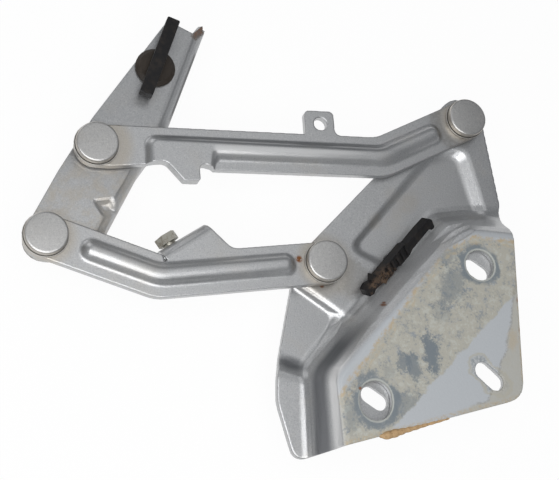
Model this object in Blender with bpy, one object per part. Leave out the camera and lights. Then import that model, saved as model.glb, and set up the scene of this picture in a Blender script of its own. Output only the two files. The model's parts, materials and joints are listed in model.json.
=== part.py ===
"""Four-bar hood hinge of pressed and painted sheet steel.

Every size is in millimetres and becomes metres once, where a mesh or a place is made. Outlines lie
in the hinge plane: x to the right, z up, with the lower base pivot at 0, 0. Heights rise towards
the outer side of the car, which is -Y, and the pivot pads of the two brackets are at height 0.
"""

import math

import bmesh
import bpy
import numpy as np
from mathutils import Matrix, Vector
from mathutils.geometry import delaunay_2d_cdt

MM = 0.001
GAP = 0.3

# The four pivots of the linkage, in the hinge plane.
BASE_LOWER = Vector((0.0, 0.0))
BASE_UPPER = Vector((95.5, 104.0))
HOOD_UPPER = Vector((-139.3, 59.2))
HOOD_LOWER = Vector((-165.1, 1.5))

# Sheet thicknesses.
BASE_SHEET = 4.5
ARM_SHEET = 5.0
HOOD_SHEET = 4.0
DOUBLER_SHEET = 2.5

# Pivot pins, bushes and washers.
HEAD_RADIUS = 12.5
HEAD_THICKNESS = 4.0
HEAD_BEVEL = 1.2
SHOULDER_RADIUS = 6.0
SHANK_RADIUS = 4.0
TAIL_RADIUS = 7.0
TAIL_THICKNESS = 3.0
BUSH_WALL = 1.4
BUSH_FLANGE_RADIUS = 13.3
BUSH_FLANGE_THICKNESS = 0.8
WASHER_RADIUS = 12.0
WASHER_THICKNESS = 1.0
TAIL_WASHER_RADIUS = 9.0
TAIL_WASHER_THICKNESS = 1.5
# The lower hood pivot is where the linkage is opened, so its hole gives the pin room to wander.
OPEN_PIVOT_CLEARANCE = 5.4
OPEN_TAIL_WASHER_RADIUS = 12.0

# Arms: half the width, and the point where each centre line bends.
ARM_HALF = 12.8
UPPER_BEND = Vector((176.5, -20.7))
LOWER_BEND = Vector((65.0, -17.8))
BEAD_HALF = 7.7
BEAD_CROWN = 0.8
BEAD_CORNER = 7.0
BEAD_END = 6.5
BEAD_HEIGHT = 4.5
BEAD_HOLLOW = 2.4
BEAD_EASES = (0.3, 0.66)

# Upper arm: plain tab with a hole on its upper edge and stop lug on its lower edge.
TAB_START = 128.9
TAB_WIDTH = 19.0
TAB_RISE = 15.8
TAB_HOLE_RADIUS = 4.3
LUG_START = 40.0
LUG_END = 59.9
LUG_DROP = 8.9
LUG_FOOT = 9.7
NOTCH_RISE = 3.0
EDGE_RISE = 2.4
STEP_START = 70.0
STEP_RUN = 3.5

# Lower arm: folded tab that carries the stop bolt.
FOLD_START = 3.0
FOLD_OFFSET = 3.3
FOLD_ANGLE = math.radians(26)
FOLD_LENGTH = 34.0
FOLD_RADIUS = 7.0
FOLD_DEPTH = 20.0
BOLT_ALONG = 11.0
BOLT_DEPTH = 13.6
BOLT_RADIUS = 4.0
BOLT_LENGTH = 20.0
BOLT_HEAD = 5.3
BOLT_STAND_OFF = 2.0
HEX_ACROSS = 12.0
NUT_THICKNESS = 6.5

# Hood bracket, measured along and across the line through its two pivots.
HOOD_PAD_RADIUS = 12.0
HOOD_LENGTH = 162.0
# The flange's outer face: distances along the pivot line, and from it towards the flange.
HOOD_FLANGE_LINE = ((-60.0, 29.5), (70.0, 29.5), (95.0, 32.6), (200.0, 20.5))
HOOD_FLANGE_DEPTH = 32.0
HOOD_FOLD_RADIUS = 8.0
HOOD_HOLE_RADIUS = 4.5
HOOD_HOLES = (35.0, 138.0)
DART_DEPTH = 3.0

# Plastic clip on the hood bracket.
CLIP_PLACE = (128.4, -8.0)
CLIP_FOOT_RADIUS = 12.3
CLIP_FOOT_THICKNESS = 3.0
CLIP_STEM_RADIUS = 4.0
CLIP_BAR_LENGTH = 53.5
CLIP_BAR_WIDTH = 8.0
CLIP_BAR_HEIGHT = 7.0
CLIP_BAR_OFFSET = 4.5
CLIP_BAR_TURN = math.radians(7.5)

# Base bracket: corners (x, z, radius) of its outline and of its pressed forms. A form has a foot,
# where the wall starts, and a crown, where it ends. Forms that leave the sheet run on to FAR.
FAR = 200.0
BASE_RIM_FOOT = Vector((-14.6, 4.7))
BASE_RIM_ALONG = Vector((0.666, 0.746))
BASE_PAD_RADIUS = 15.9
BASE_CORNERS = [
    (-27.9, -70, 20), (-27.9, -84, 30), (-17.4, -117.5, 7), (116, -78.5, 12), (115.8, 27, 10),
    (120.2, 51, 14), (110, 112.4, 10),
]
FLANGE_HEIGHT = 25.0
FLANGE_FOOT = [
    (FAR, 43, 0), (98, 50, 20), (73, 45, 16), (-14.5, -60, 22), (-10, -FAR, 0), (FAR, -FAR, 0),
]
FLANGE_CROWN = [
    (FAR - 10, 20, 0), (87, 19.5, 4), (81.5, 16, 4), (2, -73, 10), (16, 10 - FAR, 0),
    (FAR - 10, 10 - FAR, 0),
]
RECESS_DEPTH = 4.0
PANEL_FOOT = [(16, 12, 6), (79, 91, 12), (100, 86, 8), (113, 38, 6), (50, -4, 6)]
PANEL_CROWN = [(23, 14.5, 4), (78, 80, 9), (92, 81, 6), (104, 42, 5), (50, 5, 5)]
WING_FOOT = [(-70, 23, 0), (30, -36.5, 8), (14, -79, 10), (-70, -60, 0)]
WING_CROWN = [(-62, 13, 0), (8, -30, 6), (-8, -59.5, 8), (-62, -41, 0)]

# Bolt holes: wide ones in the flange over slots in the doubler, and a plain slot by itself.
SLOT_UPPER = Vector((92.0, 1.0))
SLOT_LOWER = Vector((23.0, -85.0))
SLOT_OUTER = Vector((94.4, -66.8))
HOLE_UPPER_RADIUS = 9.4
HOLE_LOWER_RADIUS = 9.9
HOLE_LOWER_LENGTH = 23.0
SLOT_WIDTH = 9.5
SLOT_LENGTH = 17.3
SLOT_TURN = math.radians(-32)
SLOT_UPPER_SHIFT = Vector((-0.5, -2.0))
SLOT_LOWER_SHIFT = Vector((0.6, 2.0))
OUTER_WIDTH = 10.5
OUTER_LENGTH = 20.5
OUTER_TURN = math.radians(-40)
DOUBLER_END = 14.0
DOUBLER_WAIST = 9.0
DOUBLER_SHOULDER = 16.0
DOUBLER_NECK = 26.0

# Plastic wiring clip at the foot of the base bracket's wall: half its outline lies on each side.
WIRING_PLACE = Vector((44.2, 8.8))
WIRING_TURN = math.radians(49)
WIRING_TILT = math.radians(35)
WIRING_HEIGHT = 5.6
WIRING_THICKNESS = 6.0
WIRING_CORNERS = [
    (-33, -2.6, 1), (-29, -3.8, 1), (-27, -2.4, 0.5), (-20, -3.2, 0.4), (-18.5, -5.6, 0.3),
    (-16.5, -4.4, 0.4), (-11, -4.8, 0.4), (-9, -3.7, 0.4), (-5, -3.7, 0.4), (-3, -4.8, 0.5),
    (7, -4.4, 0.5), (10, -3.0, 0.5), (28.5, -2.4, 0.5), (29.5, -4.4, 0.8), (32.5, -4.8, 1),
    (33, 1.0, 1), (31.5, 3.2, 1), (22, 3.4, 1), (9, 2.8, 0.5), (6, 4.2, 1), (-21, 3.4, 0.3),
    (-22.5, 6.2, 0.3), (-25, 2.2, 0.4), (-29, 3.8, 1), (-33, 2.6, 1),
]
WIRING_RIBS = (-17.0, -12.5, -8.0, -3.5, 1.0, 5.5)
WIRING_RIB_WIDTH = 1.6
WIRING_RIB_REACH = 3.4
WIRING_RIB_RISE = 1.2
WIRING_STEM_RADIUS = 2.2
WIRING_STEM_DEPTH = 16.4

ROUND_STEPS = 24
CORNER_STEPS = 5
FLAT_ANGLE = math.radians(0.5)

# Heights, stacked outwards from the bracket face.
WASHER_BACK = GAP
WASHER_FACE = WASHER_BACK + WASHER_THICKNESS
ARM_BACK = WASHER_FACE + GAP
ARM_FACE = ARM_BACK + ARM_SHEET
BUSH_BACK = ARM_FACE + GAP
BUSH_FACE = BUSH_BACK + BUSH_FLANGE_THICKNESS
HEAD_BACK = BUSH_FACE + GAP
HEAD_FACE = HEAD_BACK + HEAD_THICKNESS
BUSH_INNER = SHOULDER_RADIUS + GAP
BUSH_OUTER = BUSH_INNER + BUSH_WALL
ARM_HOLE = BUSH_OUTER + GAP
BRACKET_HOLE = SHANK_RADIUS + GAP
OPEN_HOLE = SHANK_RADIUS + OPEN_PIVOT_CLEARANCE
DOUBLER_FACE = FLANGE_HEIGHT - BASE_SHEET - GAP
DOUBLER_BACK = DOUBLER_FACE - DOUBLER_SHEET

# The model's origin is the middle of the doubler's rear face, where the hinge meets the body.
SEAT = (SLOT_UPPER + SLOT_LOWER) / 2


class Line:
    """A line in the hinge plane from one point towards another, with places along and across it."""

    def __init__(self, start, end):
        self.start = start
        self.length = (end - start).length
        self.along = (end - start).normalized()
        self.across = Vector((-self.along.y, self.along.x))

    def at(self, along, across=0.0):
        return self.start + self.along * along + self.across * across

    def corner(self, along, across, radius=0.0):
        place = self.at(along, across)
        return (place.x, place.y, radius)


def mitre(start, bend, end, offset, radius):
    """The corner where the two edges of a bent strip meet, on its left for a positive offset."""
    first = Line(start, bend)
    second = Line(bend, end)
    half = (first.across + second.across).normalized()
    place = bend + half * (offset / half.dot(first.across))
    return (place.x, place.y, radius)


def rounded(corners, steps=CORNER_STEPS):
    """Points of a closed outline whose corners (x, z, radius) are rounded by arcs."""
    points = []
    for number, (x, z, radius) in enumerate(corners):
        corner = Vector((x, z))
        if radius <= 0:
            points.append(corner)
            continue
        before = (Vector(corners[number - 1][:2]) - corner).normalized()
        after = (Vector(corners[(number + 1) % len(corners)][:2]) - corner).normalized()
        half_angle = before.angle(after) / 2
        reach = radius / math.tan(half_angle)
        centre = corner + (before + after).normalized() * (radius / math.sin(half_angle))
        first = corner + before * reach - centre
        turn = first.angle_signed(corner + after * reach - centre)
        for step in range(steps + 1):
            spoke = first.copy()
            spoke.rotate(Matrix.Rotation(-turn * step / steps, 2))
            points.append(centre + spoke)
    return [p for p, before in zip(points, points[-1:] + points[:-1]) if (p - before).length > 0.01]


def ring(centre, radius, steps=ROUND_STEPS):
    return [
        centre + Vector((math.cos(angle), math.sin(angle))) * radius
        for angle in (math.tau * step / steps for step in range(steps))
    ]


def stadium(centre, width, length, turn):
    """A slot with half-round ends, turned in the hinge plane."""
    axis = Line(centre, centre + Vector((math.cos(turn), math.sin(turn))))
    ends = length / 2
    half = width / 2
    return rounded([
        axis.corner(-ends, half, half),
        axis.corner(-ends, -half, half),
        axis.corner(ends, -half, half),
        axis.corner(ends, half, half),
    ])


def signed_area(points):
    return sum(a.x * b.y - b.x * a.y for a, b in zip(points, points[1:] + points[:1])) / 2


def distance_to(places, loop):
    """Distance of each place from a closed outline, and whether it lies inside."""
    starts = np.array([(p.x, p.y) for p in loop])
    ends = np.roll(starts, -1, axis=0)
    edge = ends - starts
    length = np.maximum((edge**2).sum(1), 1e-12)
    nearest = np.full(len(places), np.inf)
    inside = np.zeros(len(places), bool)
    for start, end, run, size in zip(starts, ends, edge, length):
        share = np.clip((places - start) @ run / size, 0, 1)
        gap = np.linalg.norm(places - start - share[:, None] * run, axis=1)
        nearest = np.minimum(nearest, gap)
        if start[1] == end[1]:
            continue
        crosses = (start[1] > places[:, 1]) != (end[1] > places[:, 1])
        at_x = start[0] + (places[:, 1] - start[1]) / run[1] * run[0]
        inside ^= crosses & (places[:, 0] < at_x)
    return nearest, inside


class Press:
    """One pressed form: a foot outline, a crown outline, and the height between the two.

    Both outlines have the same number of corners, so that the wall between them is a clean loft.
    The eases are the shares of the wall that its bends at the foot and at the crown take up.
    """

    def __init__(self, foot, crown, height, eases, lines=(0.0, 0.12, 0.26, 0.42, 0.6, 0.8, 1.0)):
        self.foot = rounded(foot)
        self.crown = rounded(crown)
        self.height = height
        self.eases = eases
        self.lines = lines

    def share(self, places):
        """0 outside the foot, 1 inside the crown, and a soft S between them."""
        from_foot, in_foot = distance_to(places, self.foot)
        from_crown, in_crown = distance_to(places, self.crown)
        rise = from_foot / np.maximum(from_foot + from_crown, 1e-9)
        rise = np.where(in_crown, 1.0, np.where(in_foot, rise, 0.0))
        foot, crown = self.eases
        steep = 1 / (1 - (foot + crown) / 2)
        low = rise**2 * steep / (2 * foot)
        high = 1 - (1 - rise) ** 2 * steep / (2 * crown)
        middle = (rise - foot / 2) * steep
        return np.where(rise < foot, low, np.where(rise > 1 - crown, high, middle))

    def loft(self):
        """The outlines between foot and crown, on which the sheet is shaped."""
        return [
            [a.lerp(b, share) for a, b in zip(self.foot, self.crown)] for share in self.lines
        ]


def blank(border, loops):
    """Triangulates the flat sheet inside a border, with edges along every given loop."""
    points = []
    edges = []
    for loop in [border, *loops]:
        first = len(points)
        points.extend(loop)
        edges.extend(
            (first + step, first + (step + 1) % len(loop)) for step in range(len(loop))
        )
    found = delaunay_2d_cdt(points, edges, [], 0, 0.01)
    places = np.array([(p.x, p.y) for p in found[0]])
    faces = [tuple(face) for face in found[2]]
    kept = distance_to(places[faces].mean(axis=1), border)[1]
    return places, [face for face, inside in zip(faces, kept) if inside]


def box_around(loop, margin):
    xs = [p.x for p in loop]
    zs = [p.y for p in loop]
    low = Vector((min(xs) - margin, min(zs) - margin))
    high = Vector((max(xs) + margin, max(zs) + margin))
    return [low, Vector((high.x, low.y)), high, Vector((low.x, high.y))]


def empty(name, place=(0, 0, 0), parent=None):
    made = bpy.data.objects.new(name, None)
    bpy.context.scene.collection.objects.link(made)
    made.location = Vector(place) * MM
    made.parent = parent
    return made


def material(name, colour, roughness, metallic):
    made = bpy.data.materials.new(name)
    made.use_nodes = True
    shader = made.node_tree.nodes["Principled BSDF"]
    shader.inputs["Base Color"].default_value = (*colour, 1)
    shader.inputs["Roughness"].default_value = roughness
    shader.inputs["Metallic"].default_value = metallic
    made.diffuse_color = (*colour, 1)
    return made


def add(name, shape, parent, finish=None):
    """Makes an object of a bmesh drawn in hinge-plane millimetres, hung under an axis empty."""
    axis = parent["axis"]
    bmesh.ops.translate(shape, verts=shape.verts, vec=(-axis[0], -axis[1], 0))
    bmesh.ops.scale(shape, verts=shape.verts, vec=(MM, MM, MM))
    mesh = bpy.data.meshes.new(name)
    shape.to_mesh(mesh)
    shape.free()
    made = bpy.data.objects.new(name, mesh)
    bpy.context.scene.collection.objects.link(made)
    made.parent = parent
    if finish is None:
        made.hide_render = True
        made.display_type = "WIRE"
        return made
    mesh.materials.append(finish)
    mesh.shade_smooth()
    mesh.set_sharp_from_angle(angle=math.radians(30))
    return made


def prism(outline, low, high):
    """An outline pulled up between two heights."""
    shape = bmesh.new()
    points = outline if signed_area(outline) > 0 else outline[::-1]
    base = [shape.verts.new((p.x, p.y, low)) for p in points]
    face = shape.faces.new(base[::-1])
    pulled = bmesh.ops.extrude_face_region(shape, geom=[face])["geom"]
    top = [part for part in pulled if isinstance(part, bmesh.types.BMVert)]
    bmesh.ops.translate(shape, verts=top, vec=(0, 0, high - low))
    bmesh.ops.recalc_face_normals(shape, faces=shape.faces)
    return shape


def turned(profile, place=(0.0, 0.0), steps=ROUND_STEPS):
    """A closed profile (radius, height) spun round an upright axis at a place."""
    shape = bmesh.new()
    points = [shape.verts.new((radius, 0, height)) for radius, height in profile]
    edges = [shape.edges.new(pair) for pair in zip(points, points[1:])]
    if profile[0][0] > 0:
        edges.append(shape.edges.new((points[-1], points[0])))
    bmesh.ops.spin(
        shape, geom=points + edges, cent=(0, 0, 0), axis=(0, 0, 1), angle=math.tau, steps=steps,
        use_merge=True,
    )
    bmesh.ops.remove_doubles(shape, verts=shape.verts, dist=1e-4)
    bmesh.ops.recalc_face_normals(shape, faces=shape.faces)
    bmesh.ops.translate(shape, verts=shape.verts, vec=(place[0], place[1], 0))
    return shape


def tube(inner, outer, low, high):
    return [(inner, low), (outer, low), (outer, high), (inner, high)]


def boolean(target, cutter, operation):
    cut = target.modifiers.new(cutter.name, "BOOLEAN")
    cut.object = cutter
    cut.operation = operation
    cut.solver = "EXACT"


def apply_modifiers(target):
    """Turns the cut blank into a plain mesh, so that it can be folded."""
    bpy.context.view_layer.update()
    graph = bpy.context.evaluated_depsgraph_get()
    mesh = bpy.data.meshes.new_from_object(target.evaluated_get(graph), depsgraph=graph)
    target.modifiers.clear()
    target.data = mesh


def pressed_sheet(name, border, presses, parent, finish, front, rear):
    """A closed sheet between two pressed surfaces, each given as a height over the flat places."""
    loops = [loop for press in presses for loop in press.loft()]
    places, faces = blank(border, loops)
    shape = bmesh.new()
    upper = [shape.verts.new((x, z, h)) for (x, z), h in zip(places, front(places))]
    lower = [shape.verts.new((x, z, h)) for (x, z), h in zip(places, rear(places))]
    for a, b, c in faces:
        shape.faces.new((upper[a], upper[b], upper[c]))
        shape.faces.new((lower[c], lower[b], lower[a]))
    sides = {pair for a, b, c in faces for pair in ((a, b), (b, c), (c, a))}
    for start, end in sorted(sides):
        if (end, start) not in sides:
            shape.faces.new((upper[end], upper[start], lower[start], lower[end]))
    loose = [vert for vert in shape.verts if not vert.link_faces]
    bmesh.ops.delete(shape, geom=loose, context="VERTS")
    return add(name, shape, parent, finish)


def behind(front, places, sheet):
    """Height of the rear face, which lies one thickness behind the front face everywhere."""
    rear = front(places) - sheet
    for share in (0.3, 0.55, 0.75, 0.9, 0.98):
        drop = sheet * math.sqrt(1 - share**2)
        for spoke in ring(Vector((0, 0)), sheet * share, 16):
            rear = np.minimum(rear, front(places + np.array(spoke)) - drop)
    return rear


def merge_flat(target):
    """Joins the facets of each flat stretch, so that a plain face stays one face."""
    flat = target.modifiers.new("flat", "DECIMATE")
    flat.decimate_type = "DISSOLVE"
    flat.angle_limit = FLAT_ANGLE


def cut_out(target, outline, low, high, parent, name):
    cutter = add(name, prism(outline, low, high), parent)
    boolean(target, cutter, "DIFFERENCE")


def trim(target, outline, low, high, parent):
    cutter = add(target.name + "_outline", prism(outline, low, high), parent)
    boolean(target, cutter, "INTERSECT")


# The scene starts empty, with one empty for the hinge plane and one on each moving axis.
for old in list(bpy.data.objects):
    bpy.data.objects.remove(old)

PAINT = material("silver_paint", (0.36, 0.37, 0.38), 0.42, 0.35)
BARE_STEEL = material("bare_steel", (0.45, 0.44, 0.42), 0.38, 1.0)
ZINC = material("zinc_plate", (0.62, 0.6, 0.54), 0.35, 1.0)
BUSH_BLACK = material("bush_black", (0.05, 0.05, 0.055), 0.55, 0.0)
PLASTIC = material("black_plastic", (0.012, 0.012, 0.013), 0.5, 0.0)

frame = empty("hinge_plane", (-SEAT.x, DOUBLER_BACK, -SEAT.y))
frame.rotation_euler = (math.pi / 2, 0, 0)
frame["axis"] = (0.0, 0.0)


def axis_empty(name, pivot):
    made = empty(name, (pivot.x, pivot.y, 0), frame)
    made["axis"] = tuple(pivot)
    return made


upper_axis = axis_empty("upper_arm_axis", BASE_UPPER)
lower_axis = axis_empty("lower_arm_axis", BASE_LOWER)
hood_axis = axis_empty("hood_bracket_axis", HOOD_UPPER)


def wiring_frames():
    """Axes of the wiring clip: its stem's, turned along the wall's foot, and its tilted body's."""
    seat = empty("wiring_seat_axis", (WIRING_PLACE.x, WIRING_PLACE.y, WIRING_HEIGHT), frame)
    seat.rotation_euler = (0, 0, WIRING_TURN)
    seat["axis"] = (0.0, 0.0)
    body = empty("wiring_clip_axis", (0, 0, 0), seat)
    body.rotation_euler = (WIRING_TILT, 0, 0)
    body["axis"] = (0.0, 0.0)
    return seat, body


wiring_seat, wiring_axis = wiring_frames()


def base_outline():
    """Outline of the base bracket, tangent to the pad circles of its two pivots."""
    rim = Line(BASE_RIM_FOOT, BASE_RIM_FOOT + BASE_RIM_ALONG)
    top = BASE_UPPER + (rim.along + rim.across) * BASE_PAD_RADIUS
    return rounded([(*BASE_RIM_FOOT, 12), *BASE_CORNERS, (*top, 13.5)])


def base_presses():
    """The raised mounting flange and the two shallow recesses beside the pivot pads."""
    flange = Press(
        FLANGE_FOOT, FLANGE_CROWN, FLANGE_HEIGHT, (0.6, 0.35),
        lines=(0.0, 0.12, 0.26, 0.4, 0.55, 0.7, 0.85, 1.0, 1.14, 1.28, 1.42),
    )
    recess_lines = (-0.6, -0.3, 0.0, 0.25, 0.5, 0.75, 1.0)
    panel = Press(PANEL_FOOT, PANEL_CROWN, -RECESS_DEPTH, (0.45, 0.45), recess_lines)
    wing = Press(WING_FOOT, WING_CROWN, -RECESS_DEPTH, (0.45, 0.45), recess_lines)
    return flange, panel, wing


def make_base_bracket():
    flange, panel, wing = base_presses()
    outline = base_outline()

    def height(places):
        level = panel.share(places) * panel.height + wing.share(places) * wing.height
        return level + (flange.height - level) * flange.share(places)

    bracket = pressed_sheet(
        "base_bracket", box_around(outline, 8), (flange, panel, wing), frame, PAINT,
        front=height,
        rear=lambda places: behind(height, places, BASE_SHEET),
    )
    trim(bracket, outline, -BASE_SHEET - 3 * RECESS_DEPTH, FLANGE_HEIGHT + 5, frame)
    low = FLANGE_HEIGHT - 3 * BASE_SHEET
    high = FLANGE_HEIGHT + 5
    cut_out(bracket, ring(SLOT_UPPER, HOLE_UPPER_RADIUS, 32), low, high, frame, "upper_hole_cutter")
    lower = stadium(SLOT_LOWER, 2 * HOLE_LOWER_RADIUS, HOLE_LOWER_LENGTH, math.pi / 2)
    cut_out(bracket, lower, low, high, frame, "lower_hole_cutter")
    outer = stadium(SLOT_OUTER, OUTER_WIDTH, OUTER_LENGTH, OUTER_TURN)
    cut_out(bracket, outer, low, high, frame, "outer_slot_cutter")
    for name, pivot in (("base_lower", BASE_LOWER), ("base_upper", BASE_UPPER)):
        hole = ring(pivot, BRACKET_HOLE)
        cut_out(bracket, hole, -3 * BASE_SHEET, BASE_SHEET, frame, name + "_hole_cutter")
    stem = ring(Vector((0, 0)), WIRING_STEM_RADIUS + GAP)
    cut_out(bracket, stem, -WIRING_STEM_DEPTH - 3, 1, wiring_seat, "wiring_hole_cutter")
    merge_flat(bracket)
    return bracket


def make_doubler():
    """Slotted strip behind the flange, which stiffens its two bolt holes."""
    strip = Line(SLOT_UPPER, SLOT_LOWER)
    side = [
        (-DOUBLER_END, DOUBLER_END, DOUBLER_END),
        (DOUBLER_SHOULDER, DOUBLER_END, 8),
        (DOUBLER_NECK, DOUBLER_WAIST, 8),
        (strip.length - DOUBLER_NECK, DOUBLER_WAIST, 8),
        (strip.length - DOUBLER_SHOULDER, DOUBLER_END, 8),
        (strip.length + DOUBLER_END, DOUBLER_END, DOUBLER_END),
    ]
    corners = [strip.corner(*place) for place in side]
    corners += [strip.corner(along, -across, radius) for along, across, radius in side[::-1]]
    doubler = add(
        "flange_doubler", prism(rounded(corners), DOUBLER_BACK, DOUBLER_FACE), frame, PAINT
    )
    slots = {"upper": SLOT_UPPER + SLOT_UPPER_SHIFT, "lower": SLOT_LOWER + SLOT_LOWER_SHIFT}
    for name, slot in slots.items():
        hole = stadium(slot, SLOT_WIDTH, SLOT_LENGTH, SLOT_TURN)
        cut_out(doubler, hole, DOUBLER_BACK - 2, DOUBLER_FACE + 2, frame, name + "_doubler_cutter")
    return doubler


def arm_sheet(name, outline, presses, parent):
    """A pressed arm: the beads stand proud in front, with a shallower hollow behind."""

    def share(places):
        return np.max([press.share(places) for press in presses], axis=0)

    arm = pressed_sheet(
        name, box_around(outline, 8), presses, parent, PAINT,
        front=lambda places: ARM_FACE + BEAD_HEIGHT * share(places),
        rear=lambda places: ARM_BACK + BEAD_HOLLOW * share(places),
    )
    trim(arm, outline, ARM_BACK - 2, ARM_FACE + BEAD_HEIGHT + 2, parent)
    return arm


def make_upper_arm():
    bend = Line(HOOD_UPPER, BASE_UPPER).at(*UPPER_BEND)
    near = Line(HOOD_UPPER, bend)
    far = Line(bend, BASE_UPPER)
    half = ARM_HALF
    end = far.length + half
    outline = rounded([
        near.corner(-half, half, half),
        near.corner(TAB_START, half, 1.5),
        near.corner(TAB_START, half + TAB_RISE, 3),
        near.corner(TAB_START + TAB_WIDTH, half + TAB_RISE, 3),
        near.corner(TAB_START + TAB_WIDTH, half, 4),
        mitre(HOOD_UPPER, bend, BASE_UPPER, half, 20),
        far.corner(end, half, half),
        far.corner(end, -half, half),
        mitre(HOOD_UPPER, bend, BASE_UPPER, -half, 30),
        near.corner(STEP_START, -half, 3),
        near.corner(LUG_END, EDGE_RISE - half, 3),
        near.corner(LUG_END, -half - LUG_DROP, 1.5),
        near.corner(LUG_END - LUG_FOOT, -half - LUG_DROP, 2),
        near.corner(LUG_START, NOTCH_RISE - half, 6),
        near.corner(10, -half, 20),
        near.corner(-half, -half, half),
    ])
    start = 28.0
    stop = far.length - 20.0
    step = STEP_START - STEP_RUN
    outside = -half - 2 * LUG_DROP
    bead = Press(
        foot=[
            near.corner(start, outside), near.corner(start, BEAD_HALF, BEAD_CORNER),
            mitre(HOOD_UPPER, bend, BASE_UPPER, BEAD_HALF, 18),
            far.corner(stop, BEAD_HALF, BEAD_CORNER), far.corner(stop, -BEAD_HALF, BEAD_CORNER),
            mitre(HOOD_UPPER, bend, BASE_UPPER, -BEAD_HALF, 26),
            near.corner(STEP_START + 1, -BEAD_HALF, 3), near.corner(STEP_START, -half, 2),
            near.corner(STEP_START, outside),
        ],
        crown=[
            near.corner(start + 5, outside), near.corner(start + 5, BEAD_HALF - 5, 3),
            mitre(HOOD_UPPER, bend, BASE_UPPER, BEAD_CROWN, 20),
            far.corner(stop - BEAD_END, BEAD_CROWN, 0.7),
            far.corner(stop - BEAD_END, -BEAD_CROWN, 0.7),
            mitre(HOOD_UPPER, bend, BASE_UPPER, -BEAD_CROWN, 22),
            near.corner(step + 1, -BEAD_CROWN, 3), near.corner(step, -half, 2),
            near.corner(step, outside),
        ],
        height=BEAD_HEIGHT,
        eases=BEAD_EASES,
    )
    arm = arm_sheet("upper_arm", outline, [bead], upper_axis)
    hole = ring(near.at(TAB_START + TAB_WIDTH / 2 + 0.5, half + TAB_RISE / 2 - 0.6), TAB_HOLE_RADIUS, 24)
    cut_out(arm, hole, ARM_BACK - 2, ARM_FACE + 2, upper_axis, "tab_hole_cutter")
    for name, pivot in (("hood_upper", HOOD_UPPER), ("base_upper", BASE_UPPER)):
        bore = ring(pivot, ARM_HOLE)
        cut_out(arm, bore, ARM_BACK - 2, ARM_FACE + 2, upper_axis, name + "_bore_cutter")
    merge_flat(arm)
    return arm


def fold(target, start_line, begins, radius, sheet, face, parent):
    """Folds the blank away from the viewer beyond a line, round a bend of the given outer radius.

    Places along the line before `begins` stay flat, so that a tab can fold beside a plain edge.
    """
    merge_flat(target)
    apply_modifiers(target)
    shape = bmesh.new()
    shape.from_mesh(target.data)
    axis = Vector(parent["axis"])
    middle = radius - sheet / 2
    quarter = middle * math.pi / 2
    normal = Vector((start_line.across.x, start_line.across.y, 0))
    for step in range(7):
        place = start_line.at(0, quarter * step / 6) - axis
        bmesh.ops.bisect_plane(
            shape, geom=list(shape.verts) + list(shape.edges) + list(shape.faces),
            dist=1e-7, plane_co=Vector((place.x, place.y, 0)) * MM, plane_no=normal,
        )
    for vert in shape.verts:
        place = Vector((vert.co.x, vert.co.y)) / MM + axis - start_line.start
        along = place.dot(start_line.along)
        beyond = place.dot(start_line.across)
        if beyond <= 0 or along < begins:
            continue
        spoke = radius - (face - vert.co.z / MM)
        if beyond < quarter:
            angle = beyond / middle
            across = spoke * math.sin(angle)
            height = face - radius + spoke * math.cos(angle)
        else:
            across = spoke
            height = face - radius - (beyond - quarter)
        moved = start_line.at(along, across) - axis
        vert.co = Vector((moved.x, moved.y, height)) * MM
    bmesh.ops.dissolve_limit(
        shape, angle_limit=FLAT_ANGLE, verts=shape.verts, edges=shape.edges, use_dissolve_boundaries=False
    )
    bmesh.ops.triangulate(shape, faces=shape.faces)
    shape.to_mesh(target.data)
    shape.free()


def lower_fold_line():
    """Where the stop tab starts to fold, from the end of its root nearest the hood."""
    bend = Line(HOOD_LOWER, BASE_LOWER).at(*LOWER_BEND)
    far = Line(bend, BASE_LOWER)
    wall = far.at(FOLD_START, ARM_HALF + FOLD_OFFSET)
    turned_along = far.along.copy()
    turned_along.rotate(Matrix.Rotation(FOLD_ANGLE, 2))
    outer = Line(wall, wall + turned_along)
    return Line(outer.at(0, -FOLD_RADIUS), outer.at(1, -FOLD_RADIUS))


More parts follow.
